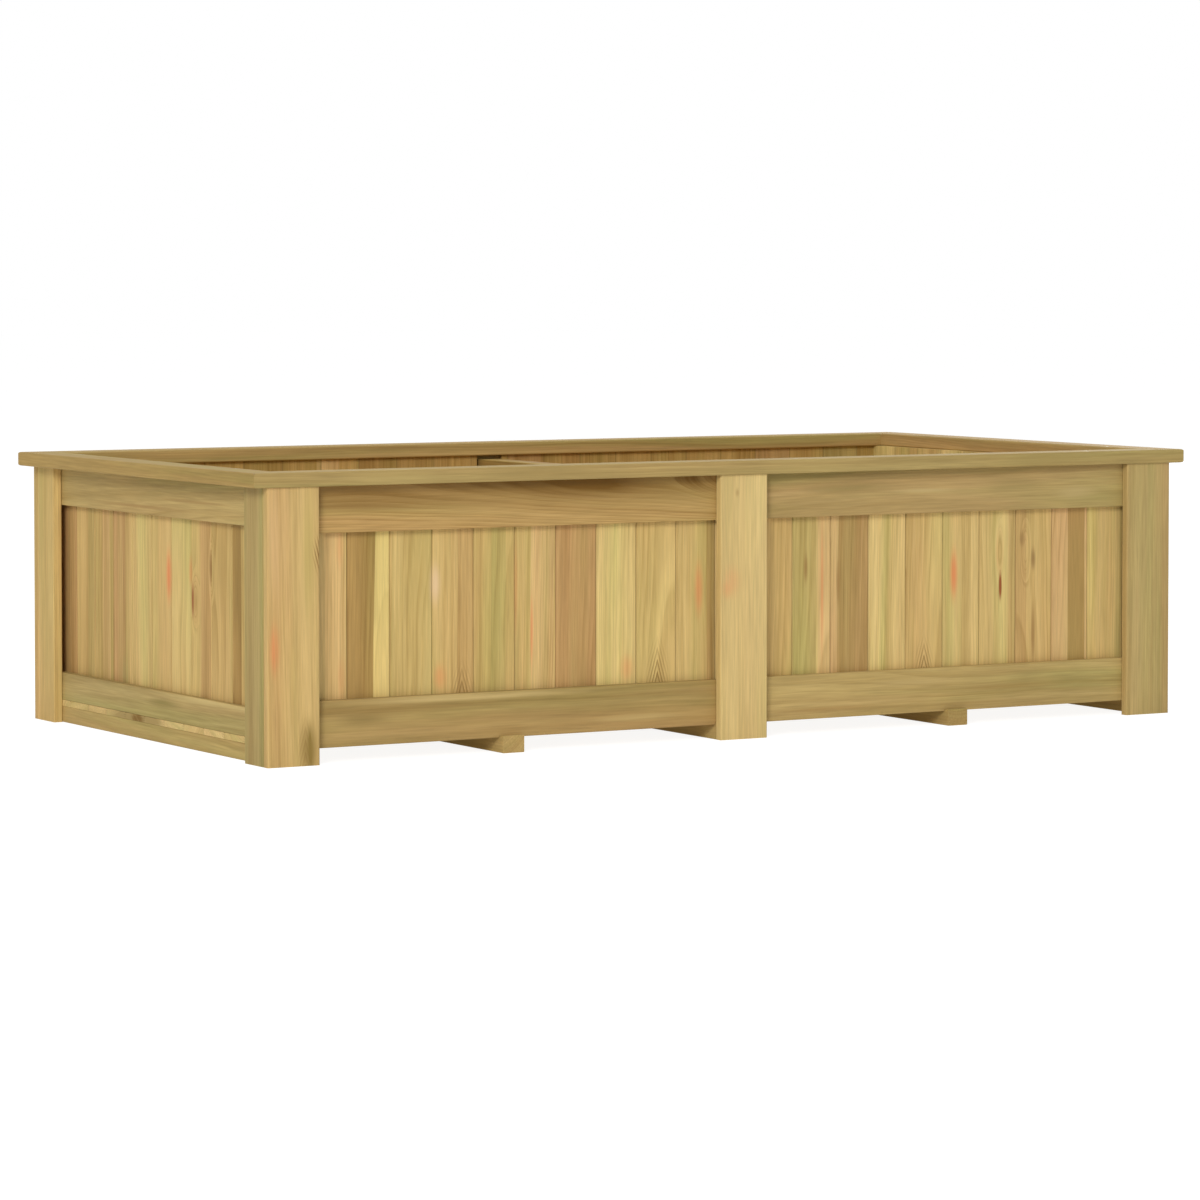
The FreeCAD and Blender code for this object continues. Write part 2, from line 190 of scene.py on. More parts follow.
def treated_pine(name, sawn, middle, log, tone=None, pith=None, marks=(), peaks=(), arches=(), row=None,
                 bands=(), joint_shade=0.68, streaks=0.55, rings=0.35, blotches=0.05, green=0.5, pink=0.3,
                 wander=20, ring_width=4):
    """Planed, pressure-treated pine; the log's number picks the part of the tree that the piece came from.

    Sawn names the axes along the grain, across the face and through the thickness. A tone is for a single
    piece. A mark is a tone, a strength, a centre and half sizes. A peak, where the grain bends round a knot,
    is a centre, half sizes and how far the grain is pushed. An arch, where the saw cut the rings open in
    nested points, is a centre, half sizes, the points' slope and a strength.
    A row, for boards that lie side by side, is an axis, a board's width and the boards' tones. A band is a
    stripe of heart or sapwood in a row: a tone, a strength and its two edges along the row's axis.
    """
    material = bpy.data.materials.new(name)
    material.use_nodes = True
    tree = material.node_tree
    tree.nodes.clear()
    place = add(tree, "ShaderNodeTexCoord").outputs["Object"]
    turn = log * 2.4
    # by itself a piece lies some centimetres from the pith
    if pith is None:
        pith = (math.sin(turn) * 40, 70 + math.cos(turn * 1.7) * 35)
    local = add(tree, "ShaderNodeVectorMath", {0: place, 1: middle}, operation="SUBTRACT").outputs[0]
    values = {"Seed": (log * 3.71, log * 1.93, log * 2.57),
              "Pith": (0, pith[0] * MM, pith[1] * MM),
              "Lean": (0, math.sin(turn * 3.1) * 0.02, math.cos(turn * 2.3) * 0.02)}
    if tone:
        values["Tone"] = colour(tone)
    if row:
        axis, width, boards = row
        # by chance each board of a row comes from a place of its own in the log
        coordinate = add(tree, "ShaderNodeSeparateXYZ", {0: local}).outputs[axis]
        in_boards = add(tree, "ShaderNodeMath", {0: coordinate, 1: width * MM}, operation="DIVIDE").outputs[0]
        number = add(tree, "ShaderNodeMath", {0: in_boards}, operation="ROUND").outputs[0]
        step = [0, 0, 0]
        step[axis] = width * MM
        shift = add(tree, "ShaderNodeVectorMath", {0: step, "Scale": number}, operation="SCALE").outputs[0]
        local = add(tree, "ShaderNodeVectorMath", {0: local, 1: shift}, operation="SUBTRACT").outputs[0]
        own = add(tree, "ShaderNodeMath", {0: number, 1: log}, operation="ADD").outputs[0]
        chance = add(tree, "ShaderNodeTexWhiteNoise", {"W": own}, noise_dimensions="1D").outputs["Color"]
        values["Seed"] = add(tree, "ShaderNodeVectorMath", {0: chance, "Scale": 40},
                             operation="SCALE").outputs[0]
        values["Pith"] = add(tree, "ShaderNodeVectorMath",
                             {0: chance, 1: (0, 0.22, 0.12), 2: (0, -0.11, 0.05)},
                             operation="MULTIPLY_ADD").outputs[0]
        inside = add(tree, "ShaderNodeMath", {0: in_boards, 1: number}, operation="SUBTRACT").outputs[0]
        # a band's edges waver along the board by up to a fourteenth of its width
        slow = add(tree, "ShaderNodeVectorMath", {0: place, 1: (9, 9, 1.5)}, operation="MULTIPLY").outputs[0]
        noise = add(tree, "ShaderNodeTexNoise", {"Vector": slow, "Scale": 1.0, "Detail": 3.0}).outputs[0]
        waver = add(tree, "ShaderNodeMapRange",
                    {"Value": noise, 1: 0.2, 2: 0.8, 3: -0.07, 4: 0.07}).outputs[0]
        share = add(tree, "ShaderNodeMath", {0: number, 1: 1 / len(boards), 2: 0.5},
                    operation="MULTIPLY_ADD").outputs[0]
        ramp = add(tree, "ShaderNodeValToRGB", {0: share})
        set_stops(ramp.color_ramp, [(at / len(boards), colour(board)) for at, board in enumerate(boards)],
                  "CONSTANT")
        values["Tone"] = ramp.outputs[0]
        beside = add(tree, "ShaderNodeSeparateXYZ", {0: place}).outputs[axis]
        edge = add(tree, "ShaderNodeMath", {0: waver, 1: width * MM, 2: beside},
                   operation="MULTIPLY_ADD").outputs[0]
        for band_tone, strength, low, high in bands:
            within = add(tree, "ShaderNodeMath",
                         {0: edge, 1: (low + high) / 2 * MM, 2: (high - low) / 2 * MM},
                         operation="COMPARE").outputs[0]
            weight = add(tree, "ShaderNodeMath", {0: within, 1: strength}, operation="MULTIPLY").outputs[0]
            values["Tone"] = add(tree, "ShaderNodeMix", {0: weight, 6: values["Tone"], 7: colour(band_tone)},
                                 data_type="RGBA").outputs[2]
        side = add(tree, "ShaderNodeMath", {0: inside}, operation="ABSOLUTE").outputs[0]
        joint = add(tree, "ShaderNodeMapRange",
                    {"Value": side, 1: 0.47, 2: 0.5, 3: 1, 4: joint_shade}).outputs[0]
    parts = add(tree, "ShaderNodeSeparateXYZ", {0: local}).outputs
    turned = add(tree, "ShaderNodeCombineXYZ",
                 {i: parts["XYZ".index(axis)] for i, axis in enumerate(sawn)}).outputs[0]
    push = 0.0
    for centre, half_sizes, pushed in peaks:
        near = falloff(tree, place, centre, half_sizes)
        push = add(tree, "ShaderNodeMath", {0: near, 1: pushed * MM, 2: push},
                   operation="MULTIPLY_ADD").outputs[0]
    values.update({"Place": turned, "Push": push, "Wander": wander * MM, "Ring Width": ring_width * MM,
                   "Streaks": streaks, "Rings": rings, "Blotches": blotches, "Green": green, "Pink": pink})
    grain = add(tree, "ShaderNodeGroup", values, node_tree=PINE_GRAIN)
    shown = grain.outputs["Color"]
    for mark_tone, strength, centre, half_sizes in marks:
        near = falloff(tree, place, centre, half_sizes)
        broken = add(tree, "ShaderNodeMapRange",
                     {"Value": grain.outputs["Streak"], 3: 1.5, 4: 0.3}).outputs[0]
        uneven = add(tree, "ShaderNodeMath", {0: near, 1: broken}, operation="MULTIPLY").outputs[0]
        weight = add(tree, "ShaderNodeMath", {0: uneven, 1: strength}, operation="MULTIPLY",
                     use_clamp=True).outputs[0]
        shown = add(tree, "ShaderNodeMix", {0: weight, 6: shown, 7: colour(mark_tone)},
                    data_type="RGBA").outputs[2]
    for centre, half_sizes, slope, strength in arches:
        near = falloff(tree, place, centre, half_sizes)
        tip = [c * MM for c in centre]
        offset = add(tree, "ShaderNodeVectorMath", {0: place, 1: tip}, operation="SUBTRACT").outputs[0]
        from_tip = add(tree, "ShaderNodeSeparateXYZ", {0: offset}).outputs
        beside = add(tree, "ShaderNodeMath", {0: from_tip["XYZ".index(sawn[1])]},
                     operation="ABSOLUTE").outputs[0]
        sloped = add(tree, "ShaderNodeMath", {0: beside, 1: slope, 2: from_tip["XYZ".index(sawn[0])]},
                     operation="MULTIPLY_ADD").outputs[0]
        rings_cut = add(tree, "ShaderNodeMath", {0: sloped, 1: 1 / ARCH_SPACING},
                        operation="MULTIPLY").outputs[0]
        season = add(tree, "ShaderNodeMath", {0: rings_cut}, operation="FRACT").outputs[0]
        autumn = add(tree, "ShaderNodeMapRange", {"Value": season, 1: 0.35, 2: 0.9, 4: strength}).outputs[0]
        weight = add(tree, "ShaderNodeMath", {0: autumn, 1: near}, operation="MULTIPLY").outputs[0]
        shown = add(tree, "ShaderNodeMix", {0: weight, 6: shown, 7: colour(ARCH_TONE)},
                    data_type="RGBA").outputs[2]
    if row:
        shown = add(tree, "ShaderNodeHueSaturation", {"Value": joint, "Color": shown}).outputs[0]
    bump = add(tree, "ShaderNodeBump",
               {"Height": grain.outputs["Height"], "Strength": 0.2, "Distance": 0.3 * MM})
    gloss = add(tree, "ShaderNodeMapRange", {"Value": grain.outputs["Height"], 3: 0.78, 4: 0.64}).outputs[0]
    surface = add(tree, "ShaderNodeBsdfPrincipled",
                  {"Base Color": shown, "Normal": bump.outputs[0], "Roughness": gloss,
                   "Specular IOR Level": 0.3, "IOR": 1.45})
    add(tree, "ShaderNodeOutputMaterial", {"Surface": surface.outputs[0]})
    return material


def dress(node, material):
    """Puts a material on a solid of the frame."""
    nodes[node].data.materials.clear()
    nodes[node].data.materials.append(material)


def middle_of(node):
    """The middle of a solid of the frame."""
    low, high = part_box(node)
    return (low + high) / 2


for log, place in enumerate(BEARERS, 1):
    bearer = "bearer_" + place
    dress(bearer, treated_pine("planed_pine_" + bearer, "YXZ", middle_of(bearer), log, tone="B29861",
                               rings=0.25))


# Floor boards: eleven tongued and grooved pine boards, 9 mm thick, laid from end to end over the bearers.
# They are planed on both faces; at the planter's ends their end grain shows as a pale strip.
FLOOR_MIDDLE_HEIGHT = 28.5
FLOOR_BOARD_COUNT = 11
# the walls' inner faces and the rails' outer ones, in millimetres from the planter's middle
WALL_INSIDE_X, WALL_INSIDE_Y = 715, 355
RAIL_X, RAIL_Y = 736, 376
FLOOR_BOARD_WIDTH = 2 * WALL_INSIDE_Y / FLOOR_BOARD_COUNT


def board_tones(count, seed, ordinary, standing_out):
    """A tone for each board of a row: ordinary ones by chance, and by their numbers those that stand out."""
    chance = random.Random(seed)
    tones = [chance.choice(ordinary) for _ in range(count)]
    for tone, numbers in standing_out.items():
        for number in numbers:
            tones[number - 1] = tone
    return tones


FLOOR_TONES = board_tones(FLOOR_BOARD_COUNT, 5, ("D0B67C", "CAAF74"), {})
floor_end_marks = [("A48C56", 3.0, (-RAIL_X, 68, 28), (60, 128, 20)),
                   ("80612A", 1.6, (-RAIL_X, 56, 28), (8, 30, 12))]
floor_pine = treated_pine("planed_pine_floor", "XYZ", Vector((0, 0, FLOOR_MIDDLE_HEIGHT * MM)), 11,
                          marks=floor_end_marks, row=(1, FLOOR_BOARD_WIDTH, FLOOR_TONES), joint_shade=0.86,
                          streaks=0.4, rings=0.2, wander=25)
for number in range(1, FLOOR_BOARD_COUNT + 1):
    dress(f"floor_board_{number}", floor_pine)


# Floor nails: flat-headed round wire nails, 29 mm long, one through each floor board into each bearer.
# Steel wire is cut, pointed and headed cold, then dipped in zinc against damp, which leaves a dull,
# slightly mottled grey.
NAIL_SHANK_RADIUS, NAIL_HEAD_RADIUS, NAIL_HEAD_THICKNESS = 0.9 * MM, 2 * MM, 1 * MM
FLOOR_NAIL_LENGTH = 29 * MM
FLOOR_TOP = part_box("floor_board_1")[1].z


def steel(name, tone, roughness, grain_size):
    """Steel whose cold-worked or plated surface is a little uneven in tone and sheen."""
    material = bpy.data.materials.new(name)
    material.use_nodes = True
    tree = material.node_tree
    tree.nodes.clear()
    place = add(tree, "ShaderNodeTexCoord").outputs["Object"]
    cloud = add(tree, "ShaderNodeTexNoise",
                {"Vector": place, "Scale": 1 / (grain_size * MM), "Detail": 2.0}).outputs[0]
    value = add(tree, "ShaderNodeMapRange", {"Value": cloud, 1: 0.3, 2: 0.7, 3: 0.85, 4: 1.1}).outputs[0]
    toned = add(tree, "ShaderNodeHueSaturation", {"Value": value, "Color": colour(tone)}).outputs[0]
    dull = add(tree, "ShaderNodeMapRange",
               {"Value": cloud, 1: 0.3, 2: 0.7, 3: roughness + 0.08, 4: roughness - 0.08}).outputs[0]
    surface = add(tree, "ShaderNodeBsdfPrincipled", {"Base Color": toned, "Roughness": dull, "Metallic": 1})
    add(tree, "ShaderNodeOutputMaterial", {"Surface": surface.outputs[0]})
    return material


def cone(tree, sides, start, bottom_radius, top_radius, height):
    """An open cone or tube from one height upwards, with its radii below and above."""
    shape = add(tree, "GeometryNodeMeshCone", {"Vertices": sides, "Radius Bottom": bottom_radius,
                                               "Radius Top": top_radius, "Depth": height}, fill_type="NONE")
    lift = add(tree, "ShaderNodeCombineXYZ", {2: start})
    return add(tree, "GeometryNodeTransform",
               {"Geometry": shape.outputs[0], "Translation": lift.outputs[0]}).outputs[0]


def joined(tree, shapes):
    """Several shapes as one mesh, with the points that meet merged."""
    join = add(tree, "GeometryNodeJoinGeometry")
    for shape in reversed(shapes):
        tree.links.new(shape, join.inputs[0])
    return add(tree, "GeometryNodeMergeByDistance", {0: join.outputs[0], "Distance": 0.02 * MM}).outputs[0]


def new_tree(name, inputs):
    """An empty Geometry Nodes tree that takes places, the given named sizes and a material."""
    tree = bpy.data.node_groups.new(name, "GeometryNodeTree")
    tree.interface.new_socket("Geometry", in_out="OUTPUT", socket_type="NodeSocketGeometry")
    tree.interface.new_socket("Places", in_out="INPUT", socket_type="NodeSocketGeometry")
    for socket in inputs:
        tree.interface.new_socket(socket, in_out="INPUT", socket_type="NodeSocketFloat")
    tree.interface.new_socket("Turn Seed", in_out="INPUT", socket_type="NodeSocketInt")
    tree.interface.new_socket("Material", in_out="INPUT", socket_type="NodeSocketMaterial")
    return tree, add(tree, "NodeGroupInput").outputs


def place_shapes(tree, given, shape):
    """Ends a tree: one shape at each place, along its driven direction and turned by chance, made real."""
    driven = add(tree, "GeometryNodeInputNamedAttribute", {"Name": "driven"},
                 data_type="FLOAT_VECTOR").outputs[0]
    facing = add(tree, "FunctionNodeAlignRotationToVector", {"Vector": driven}, axis="Z").outputs[0]
    put = add(tree, "GeometryNodeInstanceOnPoints", {"Points": given["Places"], "Instance": shape,
                                                     "Rotation": facing}).outputs[0]
    chance = add(tree, "FunctionNodeRandomValue", {"Max": (0, 0, math.tau), "Seed": given["Turn Seed"]},
                 data_type="FLOAT_VECTOR").outputs[0]
    turned = add(tree, "GeometryNodeRotateInstances", {"Instances": put, "Rotation": chance}).outputs[0]
    real = add(tree, "GeometryNodeRealizeInstances", {0: turned}).outputs[0]
    made = add(tree, "GeometryNodeSetMaterial", {"Geometry": real, "Material": given["Material"]}).outputs[0]
    add(tree, "NodeGroupOutput", {0: made})


def nail_tree():
    """A flat-headed round nail, driven along its own Z from the top of its head."""
    tree, given = new_tree("flat_headed_nail", ("Length", "Shank Radius", "Head Radius", "Head Thickness"))
    sides = 10
    shank_radius, head_radius = given["Shank Radius"], given["Head Radius"]
    thickness = given["Head Thickness"]
    edge = add(tree, "ShaderNodeMath", {0: thickness, 1: 0.2}, operation="MULTIPLY").outputs[0]
    rim = add(tree, "ShaderNodeMath", {0: thickness, 1: 0.6}, operation="MULTIPLY").outputs[0]
    under = add(tree, "ShaderNodeMath", {0: thickness, 1: 0.8}, operation="MULTIPLY").outputs[0]
    face_radius = add(tree, "ShaderNodeMath", {0: head_radius, 1: edge}, operation="SUBTRACT").outputs[0]
    point = add(tree, "ShaderNodeMath", {0: shank_radius, 1: 2}, operation="MULTIPLY").outputs[0]
    point_start = add(tree, "ShaderNodeMath", {0: given["Length"], 1: point}, operation="SUBTRACT").outputs[0]
    shank_length = add(tree, "ShaderNodeMath", {0: point_start, 1: thickness},
                       operation="SUBTRACT").outputs[0]
    face = add(tree, "GeometryNodeMeshCircle", {"Vertices": sides, "Radius": face_radius},
               fill_type="NGON").outputs[0]
    shape = joined(tree, [
        face,
        cone(tree, sides, 0, face_radius, head_radius, edge),
        cone(tree, sides, edge, head_radius, head_radius, rim),
        cone(tree, sides, under, head_radius, shank_radius, edge),
        cone(tree, sides, thickness, shank_radius, shank_radius, shank_length),
        cone(tree, sides, point_start, shank_radius, 0, point),
    ])
    place_shapes(tree, given, shape)
    return tree


def drive(node, slot, tree, material, places, seed, **sizes):
    """Replaces a solid of the frame by a fastener at each place, a head's middle and a driven direction."""
    mesh = bpy.data.meshes.new(node + "_places")
    mesh.from_pydata([head for head, _ in places], [], [])
    directions = mesh.attributes.new("driven", "FLOAT_VECTOR", "POINT")
    directions.data.foreach_set("vector", [part for _, way in places for part in way])
    holder = bpy.data.objects.new(node + "_places", mesh)
    bpy.context.scene.collection.objects.link(holder)
    modifier = holder.modifiers.new("fasteners", "NODES")
    modifier.node_group = tree
    settings = {**sizes, "Turn Seed": seed, "Material": material}
    for item in tree.interface.items_tree:
        if item.name in settings:
            modifier[item.identifier] = settings[item.name]
    evaluated = holder.evaluated_get(bpy.context.evaluated_depsgraph_get())
    made = bpy.data.meshes.new_from_object(evaluated)
    holder.modifiers.remove(modifier)
    bpy.data.objects.remove(holder)
    shell = bmesh.new()
    shell.from_mesh(made)
    bmesh.ops.recalc_face_normals(shell, faces=shell.faces)
    shell.to_mesh(made)
    shell.free()
    piece = bpy.data.objects.new(node + "_detailed", made)
    bpy.context.scene.collection.objects.link(piece)
    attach(piece, "root")
    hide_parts(node)


DOWN = Vector((0, 0, -1))
NAIL = nail_tree()
dipped_steel = steel("galvanised_steel_nail", "9C9A96", 0.42, 1.5)
nail_sizes = {"Shank Radius": NAIL_SHANK_RADIUS, "Head Radius": NAIL_HEAD_RADIUS,
              "Head Thickness": NAIL_HEAD_THICKNESS}
floor_nail_places = []
for place in BEARERS:
    for number in range(FLOOR_BOARD_COUNT):
        across = ((number + 0.5) * FLOOR_BOARD_WIDTH - WALL_INSIDE_Y) * MM
        floor_nail_places.append((Vector((middle_of("bearer_" + place).x, across, FLOOR_TOP)), DOWN))
drive("floor_nails", "nail_steel", NAIL, dipped_steel, floor_nail_places, 1, Length=FLOOR_NAIL_LENGTH,
      **nail_sizes)


# Wall boards: upright tongued and grooved pine boards, 65 mm wide and 9 mm thick, V-jointed where they meet.
# They come from many logs, so each has a tone of its own, from green-tinged straw to pinkish heartwood.
# Some have a browner or yellower streak down one side, resin streaks, and peaks where a knot lay near.
WALL_BOARD_WIDTH = 65
LONG_BOARDS, END_BOARDS = 23, 11
# the boards' outer faces, from the planter's middle, and how deep a mark or a bend in the grain goes
BOARD_X, BOARD_Y, DEPTH = 724, 364, 9
TAN, SAND, STRAW = "CCAE72", "C4A66A", "D0B578"
PALE, PEACH, BROWN, OLIVE, DARK, YELLOW = "D4BA7C", "D2AF7A", "B89360", "B09C60", "A2824A", "D4B876"
ROSE, ORANGE, KNOT, LINE = "C09C68", "DB7E4E", "6B4522", "8A6334"
ORDINARY = (TAN, SAND, STRAW, TAN)
FRONT_TONES = board_tones(LONG_BOARDS, 4, ORDINARY, {BROWN: (8,), ROSE: (15,), PALE: (9, 16), PEACH: (21,),
                                                     STRAW: (4, 18, 19)})
LEFT_TONES = board_tones(END_BOARDS, 7, ORDINARY, {STRAW: (5, 7), SAND: (2, 4, 10), BROWN: (11,)})
# the back wall's ordinary tones are darker and browner than the other walls': painted shade of the planter's
# inside
BACK_TONES_WITH_PAINTED_SHADE = board_tones(LONG_BOARDS, 11, ("B8975A", "AE8C52"), {BROWN: (2, 13, 20), OLIVE: (22,)})
RIGHT_TONES = board_tones(END_BOARDS, 13, ORDINARY, {BROWN: (3,), PALE: (8,)})
front_bands = [
    (DARK, 0.9, -618, -576), (YELLOW, 0.8, -576, -552), (PEACH, 0.6, -664, -620), ("C6AF70", 0.8, -550, -488),
    (BROWN, 0.4, -450, -426), (OLIVE, 0.5, -398, -374), (PEACH, 0.8, -332, -294), (BROWN, 0.5, -46, -33),
    (OLIVE, 0.6, 98, 138), (PEACH, 0.7, 141, 175), (BROWN, 0.5, 474, 506), (DARK, 0.8, 582, 614),
    (YELLOW, 0.6, 618, 634)]
left_bands = [
    (BROWN, 0.9, 122, 166), (PEACH, 0.7, 176, 200), (OLIVE, 0.6, 228, 250), (BROWN, 0.5, -160, -128),
    (DARK, 0.9, -256, -229)]
back_bands = [(DARK, 0.8, 92, 120), (PEACH, 0.6, -300, -262)]
right_bands = [(OLIVE, 0.7, -130, -98)]
front_marks = [
    (ORANGE, 0.55, (-60, -BOARD_Y, 214), (11, DEPTH, 62)),
    (ORANGE, 0.3, (-178, -BOARD_Y, 107), (18, DEPTH, 30)),
    (ORANGE, 0.4, (-331, -BOARD_Y, 165), (4, DEPTH, 80)),
    (ORANGE, 0.35, (-475, -BOARD_Y, 108), (16, DEPTH, 30)),
    ("DDBD92", 0.7, (-483, -BOARD_Y, 236), (14, DEPTH, 44)),
    (ORANGE, 0.2, (-628, -BOARD_Y, 288), (9, DEPTH, 44)),
    (ORANGE, 0.25, (-626, -BOARD_Y, 112), (9, DEPTH, 44)),
    (ORANGE, 0.6, (377, -BOARD_Y, 220), (11, DEPTH, 58)),
    (ORANGE, 0.4, (148, -BOARD_Y, 205), (4, DEPTH, 150)),
    ("94542C", 0.9, (460, -BOARD_Y, 200), (4.5, DEPTH, 34)),
    (ORANGE, 0.15, (458, -BOARD_Y, 248), (10, DEPTH, 46)),
    (KNOT, 0.45, (499, -BOARD_Y, 268), (7, DEPTH, 20)),
    (KNOT, 0.5, (519, -BOARD_Y, 237), (7, DEPTH, 26)),
    (ORANGE, 0.3, (-356, -BOARD_Y, 230), (5, DEPTH, 110)),
    (LINE, 0.7, (519, -BOARD_Y, 128), (6, DEPTH, 70)),
    (LINE, 0.7, (176, -BOARD_Y, 215), (6, DEPTH, 50)),
    (LINE, 0.6, (120, -BOARD_Y, 238), (6, DEPTH, 34))]
left_marks = [
    (ORANGE, 0.6, (-BOARD_X, -25, 235), (DEPTH, 15, 60)),
    ("8E4F28", 0.85, (-BOARD_X, -103, 206), (DEPTH, 8, 36)),
    (LINE, 0.8, (-BOARD_X, -161, 254), (DEPTH, 7, 36)),
    (ORANGE, 0.35, (-BOARD_X, -96, 246), (DEPTH, 9, 34)),
    ("8F8A4F", 0.6, (-BOARD_X, 122, 85), (DEPTH, 18, 52))]
front_peaks = [((458, -BOARD_Y, 250), (12, DEPTH, 70), 14), ((505, -BOARD_Y, 250), (14, DEPTH, 70), 14)]
left_peaks = [((-BOARD_X, -110, 205), (DEPTH, 20, 60), 14), ((-BOARD_X, -161, 254), (DEPTH, 14, 60), 14)]
back_peaks = [((-220, BOARD_Y, 180), (14, DEPTH, 70), 14)]
right_peaks = [((BOARD_X, 60, 160), (DEPTH, 14, 70), 14)]
front_arches = [((-441, -BOARD_Y, 86), (24, DEPTH, 56), 3.6, 0.9),
                ((-128, -BOARD_Y, 84), (26, DEPTH, 84), 3.6, 1.0),
                ((325, -BOARD_Y, 88), (22, DEPTH, 58), 3.6, 0.9)]
back_arches = [((350, BOARD_Y, 92), (24, DEPTH, 80), 3.6, 0.8)]
WALLS = (
    ("front_wall_boards", 0, 100, FRONT_TONES, front_bands, front_marks, front_peaks, front_arches),
    ("back_wall_boards", 0, 160, BACK_TONES_WITH_PAINTED_SHADE, back_bands, (), back_peaks, back_arches),
    ("left_end_boards", 1, 220, LEFT_TONES, left_bands, left_marks, left_peaks, ()),
    ("right_end_boards", 1, 280, RIGHT_TONES, right_bands, (), right_peaks, ()),
)
for wall, axis, log, tones, bands, marks, peaks, arches in WALLS:
    sawn = "ZYX" if wall.endswith("_end_boards") else "ZXY"
    dress(wall, treated_pine("planed_pine_" + wall, sawn, middle_of(wall), log, marks=marks, peaks=peaks,
                             arches=arches, bands=bands, row=(axis, WALL_BOARD_WIDTH, tones), streaks=0.62,
                             rings=0.38, green=0.6, pink=0.15, wander=12, ring_width=3.6))


# Wall nails: the same flat-headed wire nails, 17 mm long, driven from inside near one long edge of each board
# into the lower and the upper rail. Their heads stay flush with the walls' inner faces.
WALL_NAIL_LENGTH = 17 * MM
NAIL_EDGE_DISTANCE = 16 * MM
LONG_NAIL_HEIGHTS, END_NAIL_HEIGHTS = (38 * MM, 328 * MM), (38 * MM, 332 * MM)


def board_starts(count, wall_start):
    """Where each board of a wall starts: whole ones about the middle, and one ripped to fit at either end."""
    first_joint = (2 - count) * WALL_BOARD_WIDTH / 2
    return [wall_start * MM] + [(first_joint + WALL_BOARD_WIDTH * step) * MM for step in range(count - 1)]


long_nail_places = []
end_nail_places = []
for side in (-1, 1):
    for start in board_starts(LONG_BOARDS, -BOARD_X):
        for height in LONG_NAIL_HEIGHTS:
            head = Vector((start + NAIL_EDGE_DISTANCE, side * WALL_INSIDE_Y * MM, height))
            long_nail_places.append((head, Vector((0, side, 0))))
    for start in board_starts(END_BOARDS, -WALL_INSIDE_Y):
        for height in END_NAIL_HEIGHTS:
            head = Vector((side * WALL_INSIDE_X * MM, start + NAIL_EDGE_DISTANCE, height))
            end_nail_places.append((head, Vector((side, 0, 0))))
for node, places, seed in (("long_wall_nails", long_nail_places, 2), ("end_wall_nails", end_nail_places, 3)):
    drive(node, "nail_steel", NAIL, dipped_steel, places, seed, Length=WALL_NAIL_LENGTH, **nail_sizes)


# Rails: planed pine boards, 12 mm thick, low and high on the outside of each wall. At each height a long side
# has two in line, which meet behind the centre post, and an end has one; their edges are eased.
# They are cut from near the outside of the log, so the grain runs in long waves and the salts show as olive.
RAILS = (
    ("upper_rail_front_left", dict(tone="BA9A62", pith=(34, 60), rings=0.6, ring_width=3, wander=16, marks=[
        # the dark band along this rail's top is partly browner heartwood and partly painted shade cast by the
        # rim
        ("6F4E18", 1.0, (-400, -RAIL_Y, 377), (900, DEPTH, 58)),
        ("8A6A38", 0.5, (-600, -RAIL_Y, 350), (160, DEPTH, 16))],
        peaks=[((6, -RAIL_Y, 380), (140, DEPTH, 66), -26)])),
    ("upper_rail_front_right", dict(
        tone="AB925F", pith=(-50, 75), green=0.65, wander=12, rings=0.2, blotches=0.09, marks=[
            ("BEA670", 0.5, (318, -RAIL_Y, 344), (90, DEPTH, 5)),
            ("BEA670", 0.45, (588, -RAIL_Y, 334), (60, DEPTH, 16)),
            ("8F7C49", 0.5, (180, -RAIL_Y, 352), (130, DEPTH, 14)),
            ("8F7C49", 0.25, (470, -RAIL_Y, 350), (90, DEPTH, 20))])),
    ("upper_rail_back_left", dict(tone="AE945C", wander=35)),
    ("upper_rail_back_right", dict(tone="B49A62", pith=(10, 75), rings=0.5, wander=35)),
    ("upper_rail_left_end", dict(tone="B39C65", pith=(-50, 80), wander=10, rings=0.25, marks=[
        (LINE, 0.45, (-RAIL_X, 40, 330), (DEPTH, 260, 4)),
        (LINE, 0.4, (-RAIL_X, -120, 344), (DEPTH, 180, 4))])),
    ("upper_rail_right_end", dict(tone="AC9460", rings=0.45)),
    ("lower_rail_front_left", dict(
        tone="A68A57", pith=(-50, 70), green=0.55, wander=12, rings=0.2, blotches=0.09, marks=[
            ("C8AE74", 1.0, (-440, -RAIL_Y, 80), (280, DEPTH, 9)),
            ("C0A66C", 0.5, (-170, -RAIL_Y, 38), (110, DEPTH, 8)),
            ("86703F", 0.5, (-600, -RAIL_Y, 60), (60, DEPTH, 20))])),
    ("lower_rail_front_right", dict(
        tone="B39C65", pith=(40, 80), green=0.7, wander=14, rings=0.25, blotches=0.08, marks=[
            ("94703C", 0.6, (470, -RAIL_Y, 52), (150, DEPTH, 7)),
            ("94703C", 0.5, (150, -RAIL_Y, 34), (150, DEPTH, 5)),
            ("BEA670", 0.5, (300, -RAIL_Y, 66), (120, DEPTH, 9))])),
    ("lower_rail_back_left", dict(tone="AC9460", wander=30)),
    ("lower_rail_back_right", dict(tone="A88F5B", pith=(-10, 72), rings=0.5, wander=30)),
    ("lower_rail_left_end", dict(tone="AF9A65", pith=(50, 75), wander=10, rings=0.2, marks=[
        ("CDB578", 1.0, (-RAIL_X, -210, 73), (DEPTH, 330, 13)),
        ("8C7C44", 1.2, (-RAIL_X, -30, 56), (DEPTH, 80, 9))])),
    ("lower_rail_right_end", dict(tone="A8905C")),
)
for log, (rail, looks) in enumerate(RAILS, 21):
    sawn = "YZX" if rail.endswith("_end") else "XZY"
    dress(rail, treated_pine("planed_pine_" + rail, sawn, middle_of(rail), log, **looks))


